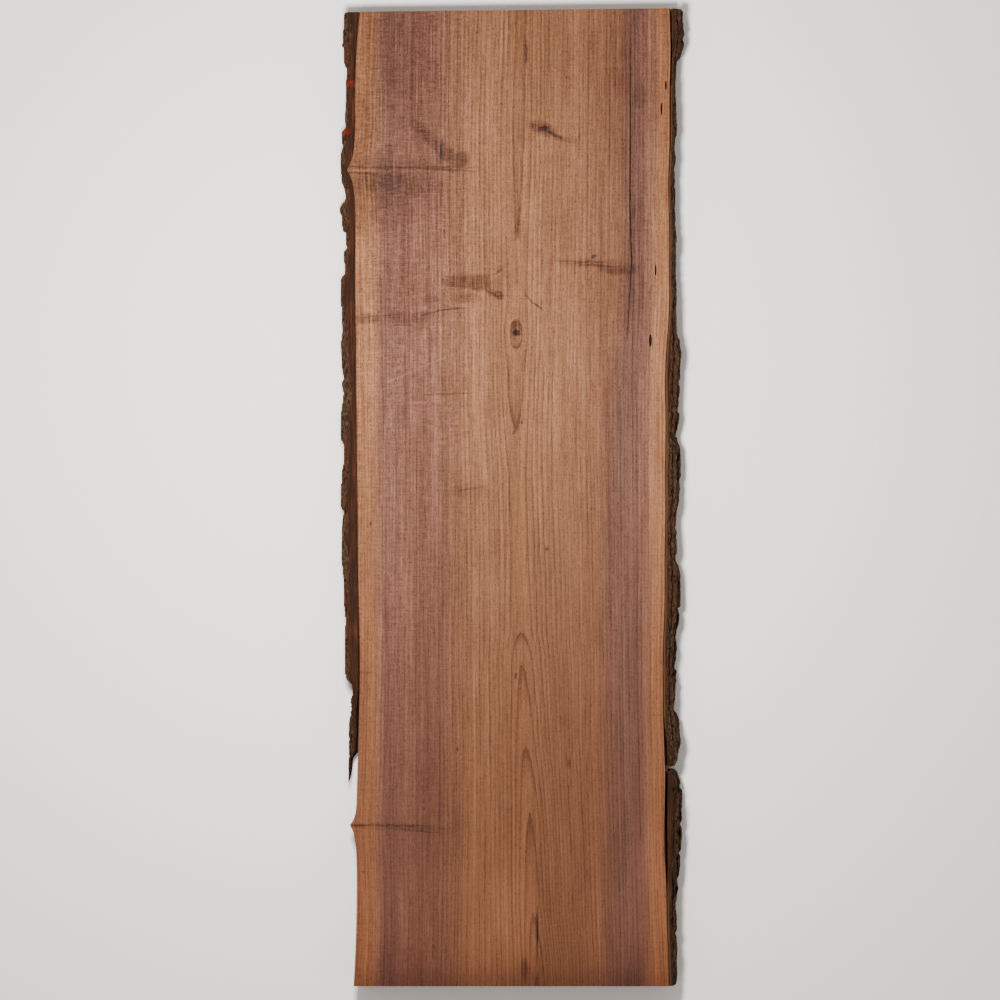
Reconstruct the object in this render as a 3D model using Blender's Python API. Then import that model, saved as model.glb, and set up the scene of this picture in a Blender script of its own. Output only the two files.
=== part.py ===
"""A walnut slab with live edges, lying on its sawn back.

X runs across the slab, Y along the grain towards the top of the tree, and Z up through the
thickness, so the better face looks up. The origin is under the middle of the slab.
Four solids: the wood, and the three strips of bark that still hold to its edges.
"""
import math

import bmesh
import bpy
import numpy as np

MM = 0.001

# Driving dimensions
LENGTH = 1.204
HALF_WIDTH = 0.2134
THICKNESS = 0.045
END_SKEW = 0.0048            # the top end is cut a little out of square: the left edge is shorter
SECTION_STEP = 0.025         # longest stretch without a cross-section
CLOSEST_SECTIONS = 0.0011

# Heights through the slab where each cross-section has corners, as shares of the thickness
EDGE_LEVELS = (0.0, 0.33, 0.67, 1.0)
LEFT_BARK_LEVELS = (1.0, 0.86, 0.70, 0.53, 0.36, 0.18, 0.0)
RIGHT_BARK_LEVELS = (0.79, 0.63, 0.47, 0.31, 0.15, 0.0)

# How the live edges lean below the upper face
LEFT_UNDERCUT = 0.006
RIGHT_FLARE = 0.004
EDGE_RIPPLE = 0.0008
EDGE_RIPPLE_LENGTH = 0.115

# Edges of the upper face, in millimetres: (up from the bottom end, right of the middle)
LEFT_EDGE = (
    (0, -195.5), (40, -193.4), (110, -191.6), (170, -191.4), (235, -191.4), (300, -189.6),
    (365, -188.0), (425, -188.0), (500, -189.6), (600, -190.5), (720, -192.0), (800, -192.6),
    (845, -193.4), (940, -193.0), (1055, -193.4), (1105, -193.4), (1165, -191.0), (1204, -187.2),
)
RIGHT_EDGE = (
    (0, 192.5), (45, 191.5), (105, 189.4), (165, 187.4), (230, 187.0), (270, 187.6), (305, 186.5),
    (335, 185.0), (370, 184.7), (440, 186.0), (490, 187.2), (575, 187.7), (635, 188.3),
    (765, 188.5), (790, 189.5), (818, 191.6), (845, 193.0), (905, 192.7), (980, 192.1),
    (1030, 192.7), (1100, 193.7), (1150, 194.0), (1204, 193.4),
)

# Stumps of side branches that swell out of the left edge, in millimetres:
# (up from the bottom end, height, fade above, fade below)
BRANCH_STUMPS = ((1005.3, 11.0, 14.0, 15.0), (198.5, 9.0, 8.5, 13.0))
STUMP_SECTIONS = (-26, -16, -9, -4, 0, 4, 9, 16)
STUMP_DEPTH = 0.7            # how far down the edge a stump reaches, as a share of the thickness

# Outer edges of the bark as seen from above, in millimetres, from the top end down
LEFT_BARK_OUTLINE = (
    (1200, -207.2), (1157, -210.2), (1155, -208.4), (1133, -207.4),
    (1129, -204.6), (1064, -206.6), (1057, -205.4), (1051.5, -211.0), (1032, -209.7),
    (1025.5, -211.6), (1010, -212.0), (989, -210.5), (982.5, -207.3),
    (970, -205.2), (961, -212.0), (954, -213.4), (948, -210.8), (930, -209.7),
    (928, -206.0), (908, -204.8), (904, -208.1), (877, -206.9), (870.5, -212.3), (841, -212.3),
    (835.5, -210.8), (806.5, -209.7), (792, -211.7), (755, -209.7),
    (749, -207.3), (742, -210.8), (730, -208.5), (703, -211.8), (672.5, -211.6), (665, -207.5),
    (649, -207.6), (632, -210.7), (591, -212.5), (583, -207.8), (576.5, -209.8),
    (525, -210.8), (496, -207.5), (473, -208.0), (451, -206.0), (414, -207.3), (382, -206.2),
    (376, -203.6), (371, -198.6), (358.5, -197.4), (355, -199.5), (298, -203.1), (288, -202.2),
    (275, -203.7), (262.5, -202.3), (256.5, -203.4), (249.5, -202.2),
)
RIGHT_UPPER_OUTLINE = (
    (1204, 211.6), (1200, 212.9), (1177, 213.4), (1161, 213.0), (1155, 211.4), (1142.5, 206.8),
    (1141, 203.6), (1125, 202.9), (1072, 204.5), (1049, 205.2), (1046, 203.4),
    (1033, 201.7), (1014.5, 205.2), (1008, 203.0), (957, 201.9), (944, 203.8), (939, 202.4),
    (927, 206.0), (921, 206.6), (915, 205.0), (880, 203.4), (848, 206.1), (835, 204.7),
    (806.5, 205.0), (801.5, 208.8), (777, 211.8), (734, 208.7),
    (700.5, 207.8), (687, 204.4), (677, 202.7), (675.5, 207.0), (654, 209.0), (598, 208.8),
    (586, 206.0), (579, 203.8), (564, 203.8), (559, 205.8), (524.5, 205.0),
    (517, 209.0), (506, 209.8), (467, 208.5), (463.5, 206.8), (458, 208.8), (443.5, 206.2),
    (427.5, 202.6), (416.5, 205.2), (393, 201.8), (389, 204.5), (364.5, 203.4), (360, 205.2),
    (355, 203.3), (339, 201.8), (335, 205.0), (327.5, 207.8), (312, 210.0), (300.5, 211.0),
    (291, 207.8), (281, 208.0), (276, 205.5), (270, 202.4),
)
RIGHT_LOWER_OUTLINE = (
    (265, 204.4), (260, 206.5), (248.5, 210.0), (246.5, 208.1), (241.5, 208.4), (238, 211.2),
    (223, 211.2), (168, 209.2), (143, 207.2), (106, 206.2), (96.5, 204.6), (72, 205.9),
    (67, 204.7), (65, 202.6), (59.5, 205.4), (44.5, 206.6), (33.5, 205.5), (27.5, 206.6),
    (14, 205.4), (0, 205.2),
)

# Gap between the wood and its bark, in millimetres: (up from the bottom end, gap). It is the
# fitting gap where the bark still holds, and wider where it has come away.
FIT = 0.3
LEFT_GAPS = (
    (249.5, 9.8), (262.5, 7.8), (283, 6.4), (288, 3.6), (310, 3.2), (336, 4.6), (352, 2.6),
    (365, 1.8), (425, 1.4), (455, FIT), (1204, FIT),
)
RIGHT_GAPS = (
    (0, FIT), (100, FIT), (125, 1.2), (145, 2.8), (168, 3.6), (250, 3.2), (272, 2.8), (298, 3.2),
    (325, 1.2), (345, FIT), (1000, FIT), (1030, 0.9), (1100, 1.4), (1140, 2.0), (1204, 2.2),
)

# The left strip thins to a spike below this place: (up from the bottom end, low side, high side)
SPIKE_HEIGHTS = ((249.5, 19, 29), (300, 13, 34), (340, 6, 41), (372, 0, 45), (1204, 0, 45))

# Lengthwise furrows down the outside of the bark:
# (height through the slab, wander up and down, length of one wander, start of the wander)
FURROWS = ((0.008, 0.004, 0.210, 0.3), (0.021, 0.005, 0.163, 2.1), (0.034, 0.004, 0.247, 4.0))
FURROW_WIDTH = 0.0042
FURROW_DEPTH = 0.0055
PLATE_SLANT = 0.030          # how far the ends of the bark's plates lean along the slab, top to back
THINNEST_BARK = 0.0020

# The right strip shows its outside: shares of its width where the sawn strip ends, then a groove
# and a ridge, and how far each lies below the face
SAWN_SHARE = 0.36
GROOVE_SHARE, GROOVE_DROP = 0.50, 0.0055
RIDGE_SHARE, RIDGE_DROP = 0.72, 0.0035
RIDGE_WAVE = 0.0015
RIDGE_WAVE_LENGTH = 0.047
RIGHT_BULGE = 0.0026
WIDEST_LEVEL = 0.47

# Drying cracks in the upper face, in millimetres: the path, then the widest opening and the depth
LONG_CRACK = ((1155, 145.2), (1110, 145.2), (1056, 145.4), (1010, 145.0), (968, 144.7),
              (894, 146.7), (876, 146.0), (845, 144.1), (820, 142.8), (795, 141.0))
END_CRACK = ((91, 30.2), (60, 30.6), (24, 30.2))
LONG_CRACK_WIDTH, LONG_CRACK_DEPTH = 0.0013, 0.0070
END_CRACK_WIDTH, END_CRACK_DEPTH = 0.0008, 0.0035
CUT_RISE = 0.001             # how far a cutter stands out of the face that it cuts

# Beetle holes that meet the face at a slant, in millimetres:
# (up from the bottom end, right of the middle, length, width)
BEETLE_HOLES = (
    (1109, 189.0, 12, 2.0), (1080, 183.4, 16, 2.0), (881.5, 176.4, 15, 2.0), (795, 169.8, 16, 3.6),
)
HOLE_DEPTH = 0.005

# Colours, in linear light
WOOD_COLOUR = (0.33, 0.155, 0.088, 1.0)
BARK_COLOUR = (0.080, 0.036, 0.019, 1.0)


def smooth_curve(points, place):
    """Reads a smooth curve through (place, value) points, in millimetres, at a place in metres."""
    places = np.array([p[0] for p in points], dtype=float) * MM
    values = np.array([p[1] for p in points], dtype=float) * MM
    slopes = np.gradient(values, places)
    i = int(np.clip(np.searchsorted(places, place) - 1, 0, len(places) - 2))
    span = places[i + 1] - places[i]
    t = (place - places[i]) / span
    return float(
        values[i] * (1 + 2 * t) * (1 - t) ** 2 + slopes[i] * span * t * (1 - t) ** 2
        + values[i + 1] * t * t * (3 - 2 * t) - slopes[i + 1] * span * t * t * (1 - t)
    )


def straight_runs(points, place, column=1):
    """Reads a line of straight runs through points, in millimetres, at a place in metres."""
    ordered = sorted(points)
    places = [p[0] * MM for p in ordered]
    values = [p[column] * MM for p in ordered]
    return float(np.interp(place, places, values))


def section_places():
    """Places of the cross-sections: every corner of the outlines, and an even spacing between."""
    outlines = LEFT_BARK_OUTLINE + RIGHT_UPPER_OUTLINE + RIGHT_LOWER_OUTLINE
    corners = [point[0] for point in outlines]
    for stump in BRANCH_STUMPS:
        corners.extend(stump[0] + offset for offset in STUMP_SECTIONS)
    wanted = {round(corner * MM, 5) for corner in corners if 0 < corner * MM < top_end(-HALF_WIDTH)}
    places = [0.0]
    for place in sorted(wanted):
        if place - places[-1] > CLOSEST_SECTIONS:
            steps = math.ceil((place - places[-1]) / SECTION_STEP)
            places.extend(np.linspace(places[-1], place, steps + 1)[1:])
    return places


def top_end(x):
    """Length of the slab at a place across it."""
    return LENGTH - END_SKEW * (HALF_WIDTH - x) / (2 * HALF_WIDTH)


def left_edge(place, level):
    """Left edge of the wood, at a place along the slab and a level through it."""
    x = smooth_curve(LEFT_EDGE, place)
    for middle, height, fade_above, fade_below in BRANCH_STUMPS:
        distance = place - middle * MM
        fade = fade_above if distance > 0 else fade_below
        reach = math.exp(-((1 - level) / STUMP_DEPTH) ** 2)
        x -= height * MM * math.exp(-abs(distance) / (fade * MM)) * reach
    return x + LEFT_UNDERCUT * (1 - level) ** 1.3 + ripple(place, level)


def right_edge(place, level):
    """Right edge of the wood, at a place along the slab and a level through it."""
    x = smooth_curve(RIGHT_EDGE, place)
    return x + RIGHT_FLARE * math.sin(math.pi * (1 - level) ** 0.8) + ripple(place, level + 1.7)


def ripple(place, level):
    """Slow unevenness of a live edge, which dies out at the upper face."""
    turns = place / EDGE_RIPPLE_LENGTH + level
    return EDGE_RIPPLE * math.sin(2 * math.pi * turns) * math.sin(math.pi * level / 2 + math.pi / 2)


def furrow(place, height):
    """Depth of the bark's furrows at a place and a height on its outside."""
    depth = 0.0
    for middle, wander, length, start in FURROWS:
        centre = middle + wander * math.sin(2 * math.pi * place / length + start)
        depth = max(depth, math.exp(-((height - centre) / FURROW_WIDTH) ** 2))
    return FURROW_DEPTH * depth


def wood_section(place):
    """Corners of the wood's cross-section, up the left edge and down the right."""
    left = [(left_edge(place, level), level * THICKNESS) for level in EDGE_LEVELS]
    right = [(right_edge(place, level), level * THICKNESS) for level in reversed(EDGE_LEVELS)]
    return left + right


def left_bark_section(place):
    """Corners of the left strip's cross-section: up its inner side, then down its outside."""
    low = straight_runs(SPIKE_HEIGHTS, place, 1)
    high = straight_runs(SPIKE_HEIGHTS, place, 2)
    gap = straight_runs(LEFT_GAPS, place)
    outline = straight_runs(LEFT_BARK_OUTLINE, place)
    inner = [left_edge(place, level) - gap for level in EDGE_LEVELS]
    corners = [(x, low + level * (high - low)) for x, level in zip(inner, EDGE_LEVELS)]
    slimness = min(1.0, (inner[-1] - outline) / (3 * FURROW_DEPTH))
    for level in LEFT_BARK_LEVELS:
        undercut = LEFT_UNDERCUT * (1 - level) ** 1.3
        carved = furrow(place, level * THICKNESS) * slimness if level < 1 else 0.0
        slanted = straight_runs(LEFT_BARK_OUTLINE, place + PLATE_SLANT * (1 - level))
        backing = np.interp(level, EDGE_LEVELS, inner) - THINNEST_BARK
        x = min(max(outline, slanted) + undercut + carved, backing)
        corners.append((x, low + level * (high - low)))
    return corners


def right_bark_section(outline_points):
    """Makes the function that gives the corners of a right strip's cross-section."""
    def section(place):
        gap = straight_runs(RIGHT_GAPS, place)
        outline = straight_runs(outline_points, place)
        inner = [right_edge(place, level) + gap for level in EDGE_LEVELS]
        corners = [(x, level * THICKNESS) for x, level in zip(inner, EDGE_LEVELS)]
        width = outline - inner[-1]
        wave = RIDGE_WAVE * math.sin(2 * math.pi * place / RIDGE_WAVE_LENGTH)
        corners.append((inner[-1] + SAWN_SHARE * width, THICKNESS))
        corners.append((inner[-1] + GROOVE_SHARE * width, THICKNESS - GROOVE_DROP + wave))
        corners.append((inner[-1] + RIDGE_SHARE * width, THICKNESS - RIDGE_DROP - wave))
        for level in RIGHT_BARK_LEVELS:
            bulge = RIGHT_BULGE * ((level - WIDEST_LEVEL) / (1 - WIDEST_LEVEL)) ** 2
            carved = furrow(place + LENGTH, level * THICKNESS)
            slant = PLATE_SLANT * (level - WIDEST_LEVEL)
            slanted = straight_runs(outline_points, place + slant)
            backing = np.interp(level, EDGE_LEVELS, inner) + THINNEST_BARK
            x = max(min(outline, slanted) - bulge - carved, backing)
            corners.append((x, level * THICKNESS))
        return corners
    return section


def loft(name, places, section, collection):
    """Joins cross-sections into one closed solid, with its top end on the slab's sawn end.

    Each four-sided face is split along the diagonal that climbs with the grain, so two faces
    that lie against each other are split alike.
    """
    mesh = bmesh.new()
    rings = []
    for index, place in enumerate(places):
        at_top = index == len(places) - 1 and place > top_end(-HALF_WIDTH) - SECTION_STEP
        ring = []
        for x, z in section(place):
            y = top_end(x) if at_top else place
            ring.append(mesh.verts.new((x, y - LENGTH / 2, z)))
        rings.append(ring)
    for below, above in zip(rings, rings[1:]):
        for i in range(len(below)):
            j = (i + 1) % len(below)
            if below[i].co.z < below[j].co.z:
                mesh.faces.new((below[i], below[j], above[j]))
                mesh.faces.new((below[i], above[j], above[i]))
            else:
                mesh.faces.new((below[i], below[j], above[i]))
                mesh.faces.new((below[j], above[j], above[i]))
    mesh.faces.new(rings[0])
    mesh.faces.new(rings[-1])
    return add_object(name, mesh, collection)


def add_object(name, mesh, collection):
    """Turns a finished mesh into a named object with its faces pointing out."""
    bmesh.ops.recalc_face_normals(mesh, faces=mesh.faces)
    data = bpy.data.meshes.new(name)
    mesh.to_mesh(data)
    mesh.free()
    result = bpy.data.objects.new(name, data)
    collection.objects.link(result)
    return result


def crack_cutter(name, path, width, depth, collection):
    """A wedge along a path, widest in the middle, that opens a crack in the upper face."""
    ends = (path[0][0] * MM, path[-1][0] * MM)
    places = [point[0] * MM for point in reversed(path)]

    def section(place):
        along = (place - ends[1]) / (ends[0] - ends[1])
        opening = 0.35 + 0.65 * math.sin(math.pi * along)
        x = straight_runs(path, place)
        half = width * opening * (1 + CUT_RISE / depth) / 2
        return [(x - half, THICKNESS + CUT_RISE), (x, THICKNESS - depth * opening),
                (x + half, THICKNESS + CUT_RISE)]

    return loft(name, places, section, collection)


def hole_cutter(name, hole, collection):
    """A long pit where a beetle's tunnel meets the face."""
    place, across, length, width = (value * MM for value in hole)
    mesh = bmesh.new()
    bmesh.ops.create_uvsphere(mesh, u_segments=8, v_segments=6, radius=1.0)
    bmesh.ops.scale(mesh, vec=(width / 2, length / 2, HOLE_DEPTH), verts=mesh.verts)
    bmesh.ops.translate(mesh, vec=(across, place - LENGTH / 2, THICKNESS), verts=mesh.verts)
    return add_object(name, mesh, collection)


def cut(target, cutters):
    """Takes each cutter out of the target with a Boolean, and shows it only as wire."""
    for cutter in cutters:
        cutter.hide_render = True
        cutter.display_type = "WIRE"
        boolean = target.modifiers.new(cutter.name, "BOOLEAN")
        boolean.operation = "DIFFERENCE"
        boolean.solver = "EXACT"
        boolean.object = cutter


def add_material(target, name, colour, roughness):
    material = bpy.data.materials.new(name)
    material.use_nodes = True
    shader = material.node_tree.nodes["Principled BSDF"]
    shader.inputs["Base Color"].default_value = colour
    shader.inputs["Roughness"].default_value = roughness
    shader.inputs["Metallic"].default_value = 0.0
    target.data.materials.append(material)


def add_collection(name):
    collection = bpy.data.collections.new(name)
    bpy.context.scene.collection.children.link(collection)
    return collection


def between(places, low, high):
    """The cross-sections of a strip that runs from one place to another."""
    inside = [p for p in places if low + CLOSEST_SECTIONS < p < high - CLOSEST_SECTIONS]
    return [low] + inside + [high]


def build():
    for old in list(bpy.data.objects):
        bpy.data.objects.remove(old)
    slab = add_collection("walnut_slab")
    cutters = add_collection("cutters")
    places = section_places()
    top = top_end(-HALF_WIDTH)

    wood = loft("wood_slab", between(places, 0.0, top), wood_section, slab)
    cracks = [
        crack_cutter("long_crack", LONG_CRACK, LONG_CRACK_WIDTH, LONG_CRACK_DEPTH, cutters),
        crack_cutter("end_crack", END_CRACK, END_CRACK_WIDTH, END_CRACK_DEPTH, cutters),
    ]
    holes = [hole_cutter(f"beetle_hole_{i + 1}", hole, cutters) for i, hole in enumerate(BEETLE_HOLES)]
    cut(wood, cracks + holes)
    add_material(wood, "walnut", WOOD_COLOUR, 0.55)

    spike_tip = LEFT_BARK_OUTLINE[-1][0] * MM
    break_top = RIGHT_UPPER_OUTLINE[-1][0] * MM
    break_bottom = RIGHT_LOWER_OUTLINE[0][0] * MM
    strips = [
        loft("bark_left", between(places, spike_tip, top), left_bark_section, slab),
        loft("bark_right_upper", between(places, break_top, top),
             right_bark_section(RIGHT_UPPER_OUTLINE), slab),
        loft("bark_right_lower", between(places, 0.0, break_bottom),
             right_bark_section(RIGHT_LOWER_OUTLINE), slab),
    ]
    for strip in strips:
        add_material(strip, "bark", BARK_COLOUR, 0.85)


build()
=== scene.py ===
"""Looks for the walnut slab: its figured wood, its bark, and a plain studio around it.

Places on the slab are given as in the part: millimetres right of the middle (across) and up from
the bottom end (along). Heights are from the back face, which lies on the floor.
"""
import math

import bmesh
import bpy
import numpy as np
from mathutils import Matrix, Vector, noise


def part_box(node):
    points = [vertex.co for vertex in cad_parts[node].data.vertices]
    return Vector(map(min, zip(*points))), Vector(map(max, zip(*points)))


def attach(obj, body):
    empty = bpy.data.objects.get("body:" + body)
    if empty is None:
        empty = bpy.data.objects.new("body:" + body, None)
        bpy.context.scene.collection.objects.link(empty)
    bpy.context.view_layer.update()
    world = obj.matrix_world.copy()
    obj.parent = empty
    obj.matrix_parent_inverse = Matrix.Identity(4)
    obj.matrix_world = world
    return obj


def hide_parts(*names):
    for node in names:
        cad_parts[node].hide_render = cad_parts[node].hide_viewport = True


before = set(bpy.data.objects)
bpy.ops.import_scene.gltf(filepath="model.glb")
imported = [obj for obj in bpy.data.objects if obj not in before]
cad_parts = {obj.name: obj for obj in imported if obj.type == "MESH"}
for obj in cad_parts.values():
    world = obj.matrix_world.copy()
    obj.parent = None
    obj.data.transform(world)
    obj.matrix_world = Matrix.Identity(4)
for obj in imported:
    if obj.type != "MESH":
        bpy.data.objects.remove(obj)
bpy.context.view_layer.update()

MM = 0.001
SLAB_LOW, SLAB_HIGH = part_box("wood_slab")
THICKNESS = SLAB_HIGH.z - SLAB_LOW.z
BOTTOM_END = SLAB_LOW.y
LENGTH = SLAB_HIGH.y - SLAB_LOW.y
LEVELS = (0.0, 0.33, 0.67, 1.0)    # shares of the thickness at which the solid has its corners
TOP_SLANT = 0.008                  # metres at the top end that hold both of its corners

# Mesh of the wood: cells across, along and through
CELLS_ACROSS, CELLS_ALONG, CELLS_THROUGH = 104, 344, 10

# The pith runs in front of the upper face: (along, across, height above the face), in millimetres.
# Where its height passes that of a ring's line, the line closes in an arch on the face.
PITH = (
    (0, 31, 9.2), (30, 30, 10.2), (94, 25, 13.6), (221, 21.3, 17.2), (303, 16.1, 20.8),
    (404, 11.8, 24.4), (437, 10.5, 28.0), (520, 9, 29.3), (630, 6, 29.2), (678, 4.5, 28.0),
    (730, 4, 26.3), (800, 5, 25.7), (860, 6, 25.2), (921, 5.3, 24.4), (1066, 8, 23.45),
    (1204, 10.5, 23.3),
)
PITH_REACH = 75.0            # how far out the rings still follow the pith's wandering
CALM_REACH = 30.0            # how far from the pith the rings are even
LOG_CENTRE = 8.0
LEFT_EDGE_MEAN, RIGHT_EDGE_MEAN = -191.5, 189.5

# Knots that the rings flow round: (across, along, push, half width, half length)
KNOTS = (
    (4.9, 804.6, 5.0, 13.0, 30.0),
    (38.3, 1055.9, 3.0, 12.0, 16.0),
    (-110.0, 1006.0, 3.0, 30.0, 22.0),
)
KNOT_CORE = 3.0              # half width in which the push of a knot turns from left to right
EYE = (4.2, 801.0, -2.4, 13.0, 21.0)         # the lens of grain round the round knot, the same way

# How much darker and redder the wood is up the slab: (along, added power)
ENDS = (
    (0, 0.30), (60, 0.21), (186, 0.17), (383, 0.10), (580, 0.03), (777, -0.02), (875, 0.02), (973, 0.0),
    (1072, 0.02), (1204, 0.07),
)

# Wide soft shades: (across, along, half width, half length, stops darker), partly the wood's own
# tone and partly painted light and shade, such as the lightening just above the bottom end. Each has
# faded out at SHADE_RIM times its half sizes.
SHADE_RIM = 1.5
SHADES = (
    (-158, 1120, 60, 150, 0.22),
    (-174, 1190, 24, 50, 0.25),
    (175, 1120, 55, 110, 0.12),
    (-24, 1040, 20, 130, -0.18),
    (-184, 985, 30, 55, 0.6),
    (-134, 1028, 28, 24, -0.22),
    (-128, 980, 45, 34, 0.14),
    (128, 950, 24, 220, 0.2),
    (11, 900, 14, 40, 0.15),
    (-176, 826, 30, 42, 0.2),
    (-30, 790, 110, 130, -0.14),
    (11, 725, 16, 80, 0.26),
    (60, 380, 60, 170, 0.15),
    (-186, 290, 45, 340, 0.2),
    (-146, 300, 24, 340, -0.22),
    (124, 180, 22, 260, -0.22),
    (6, 95, 22, 75, -0.25),
    (172, 90, 34, 100, -0.3),
    (-184, 80, 20, 90, -0.2),
    (-70, 70, 85, 85, -0.3),
    (114, 60, 32, 60, -0.25),
    (20, -10, 300, 26, 0.26),
)

MEAN_POWER = 1.00            # of the zones' colours, where the wood has its middling density
REDDENING = 0.16             # added to that power for each stop of shade
RING_WIDTH = 4.6             # millimetres between year lines, here and in the core
CORE_RING = 28.0             # the ring that just reaches the face along most of the slab
CORE_RING_WIDTH = 3.6

# Camera and studio, in metres
CAMERA_HEIGHT = 4.5
VIEW_WIDTH = 1.2308          # of what the camera sees at the upper face
VIEW_CENTRE = (-0.01526, -0.00346)
SENSOR = 36.0
LAMP_PLACE = (-0.19, 0.18, 1.28)
LAMP_SIZE = 0.25
LAMP_POWER = 38.0
SKY_LIGHT = 0.6
SKY_COLOUR = (1.0, 0.99, 0.98, 1)
FLOOR_SIZE = 14
FLOOR_DROP = 0.0002          # below the slab's back, so that the two don't flicker
FLOOR_COLOUR = (0.96, 0.905, 0.855, 1)


def read_sections(node):
    """Reads the left and right edges of the wood from the frame, at each level, bottom to top.

    The top end slants, so its corners are read by themselves.
    """
    points = np.array([v.co[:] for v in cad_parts[node].data.vertices])
    top_rows = points[:, 1] > BOTTOM_END + LENGTH - TOP_SLANT
    body = points[~top_rows]
    base = body[body[:, 2] < 1e-5]
    places = np.unique(np.round(base[:, 1], 6))
    left = np.zeros((len(places) + 1, len(LEVELS), 2))
    right = np.zeros_like(left)
    for k, level in enumerate(LEVELS):
        layer = body[np.abs(body[:, 2] - level * THICKNESS) < 1e-4]
        for row, place in enumerate(places):
            at = layer[np.abs(layer[:, 1] - place) < 2e-6]
            left[row, k] = (at[:, 0].min(), place)
            right[row, k] = (at[:, 0].max(), place)
        end = points[top_rows & (np.abs(points[:, 2] - level * THICKNESS) < 1e-4)]
        left[-1, k] = end[end[:, 0].argmin(), :2]
        right[-1, k] = end[end[:, 0].argmax(), :2]
    return left, right


LEFT_SECTIONS, RIGHT_SECTIONS = read_sections("wood_slab")


def edge_x(sections, y, level):
    """Where an edge of the wood lies, for arrays of places along it and levels through it."""
    columns = np.array([np.interp(y, sections[:, k, 1], sections[:, k, 0]) for k in range(len(LEVELS))])
    level = np.clip(level, 0.0, 1.0)
    upper = np.clip(np.searchsorted(LEVELS, level, side="right"), 1, len(LEVELS) - 1)
    low, high = np.take(LEVELS, upper - 1), np.take(LEVELS, upper)
    share = (level - low) / (high - low)
    picked = np.arange(columns.shape[1])
    return columns[upper - 1, picked] * (1 - share) + columns[upper, picked] * share


def wood_point(u, v, w):
    """Places in the slab for arrays of shares across, along and through it."""
    left_y = BOTTOM_END + v * (LEFT_SECTIONS[-1, 0, 1] - BOTTOM_END)
    right_y = BOTTOM_END + v * (RIGHT_SECTIONS[-1, 0, 1] - BOTTOM_END)
    left = edge_x(LEFT_SECTIONS, left_y, w)
    right = edge_x(RIGHT_SECTIONS, right_y, w)
    x = left + u * (right - left)
    y = left_y + u * (right_y - left_y)
    return np.stack([x, y, w * THICKNESS], axis=1)


def patch(count_a, count_b, place):
    """A sheet of quads over two shares, each from 0 to 1. place turns them into points."""
    a, b = np.meshgrid(np.linspace(0, 1, count_a + 1), np.linspace(0, 1, count_b + 1), indexing="ij")
    points = place(a.ravel(), b.ravel())
    index = np.arange((count_a + 1) * (count_b + 1)).reshape(count_a + 1, count_b + 1)
    quads = np.stack([index[:-1, :-1], index[1:, :-1], index[1:, 1:], index[:-1, 1:]], axis=-1)
    return points, quads.reshape(-1, 4)


def wood_mesh():
    """The wood as six fine sheets welded into one closed mesh."""
    one, zero = np.ones_like, np.zeros_like
    sheets = [
        (CELLS_ACROSS, CELLS_ALONG, lambda a, b: wood_point(a, b, one(a))),
        (CELLS_ALONG, CELLS_ACROSS, lambda a, b: wood_point(b, a, zero(a))),
        (CELLS_ALONG, CELLS_THROUGH, lambda a, b: wood_point(one(a), a, b)),
        (CELLS_THROUGH, CELLS_ALONG, lambda a, b: wood_point(zero(a), b, a)),
        (CELLS_ACROSS, CELLS_THROUGH, lambda a, b: wood_point(a, zero(a), b)),
        (CELLS_THROUGH, CELLS_ACROSS, lambda a, b: wood_point(b, one(a), a)),
    ]
    points, quads, count = [], [], 0
    for count_a, count_b, place in sheets:
        some_points, some_quads = patch(count_a, count_b, place)
        points.append(some_points)
        quads.append(some_quads + count)
        count += len(some_points)
    mesh = bpy.data.meshes.new("wood")
    mesh.from_pydata(np.concatenate(points), [], np.concatenate(quads))
    work = bmesh.new()
    work.from_mesh(mesh)
    bmesh.ops.remove_doubles(work, verts=work.verts, dist=1e-5)
    bmesh.ops.recalc_face_normals(work, faces=work.faces)
    work.to_mesh(mesh)
    work.free()
    return mesh


INSIDE, BELOW_FACE = 0.001, 0.0003           # metres under the skin of the wood, and under its face


def soft_noise(x, y, z):
    """Smooth noise from about -1 to 1 for arrays of coordinates."""
    return np.array([noise.noise(Vector(p)) for p in zip(x, y, z)])


def eased_edge(sections, y, reach=0.06, step=0.004):
    """An edge of the upper face with its small bumps smoothed away, as the grain follows it."""
    steps = np.arange(BOTTOM_END, BOTTOM_END + LENGTH, step)
    edge = np.interp(steps, sections[:, -1, 1], sections[:, -1, 0])
    window = np.hanning(int(2 * reach / step) + 1)
    padded = np.pad(edge, len(window) // 2, mode="edge")
    return np.interp(y, steps, np.convolve(padded, window / window.sum(), mode="valid"))


def settle(across, y):
    """Places across as if the log were straight, so that the grain follows its wavy edges."""
    left_shift = eased_edge(LEFT_SECTIONS, y) / MM - LEFT_EDGE_MEAN
    right_shift = eased_edge(RIGHT_SECTIONS, y) / MM - RIGHT_EDGE_MEAN
    leftward = np.clip(across / LEFT_EDGE_MEAN, 0, 1.2) ** 6
    rightward = np.clip(across / RIGHT_EDGE_MEAN, 0, 1.2) ** 6
    return across - left_shift * leftward - right_shift * rightward


def flow_round_knots(settled, across, along):
    pushed = settled.copy()
    for knot_x, knot_y, push, half_width, half_length in KNOTS:
        dx, dy = across - knot_x, along - knot_y
        fade = np.exp(-(dx / half_width) ** 2 - (dy / half_length) ** 2)
        pushed -= push * np.tanh(dx / KNOT_CORE) * fade
    return pushed


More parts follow.
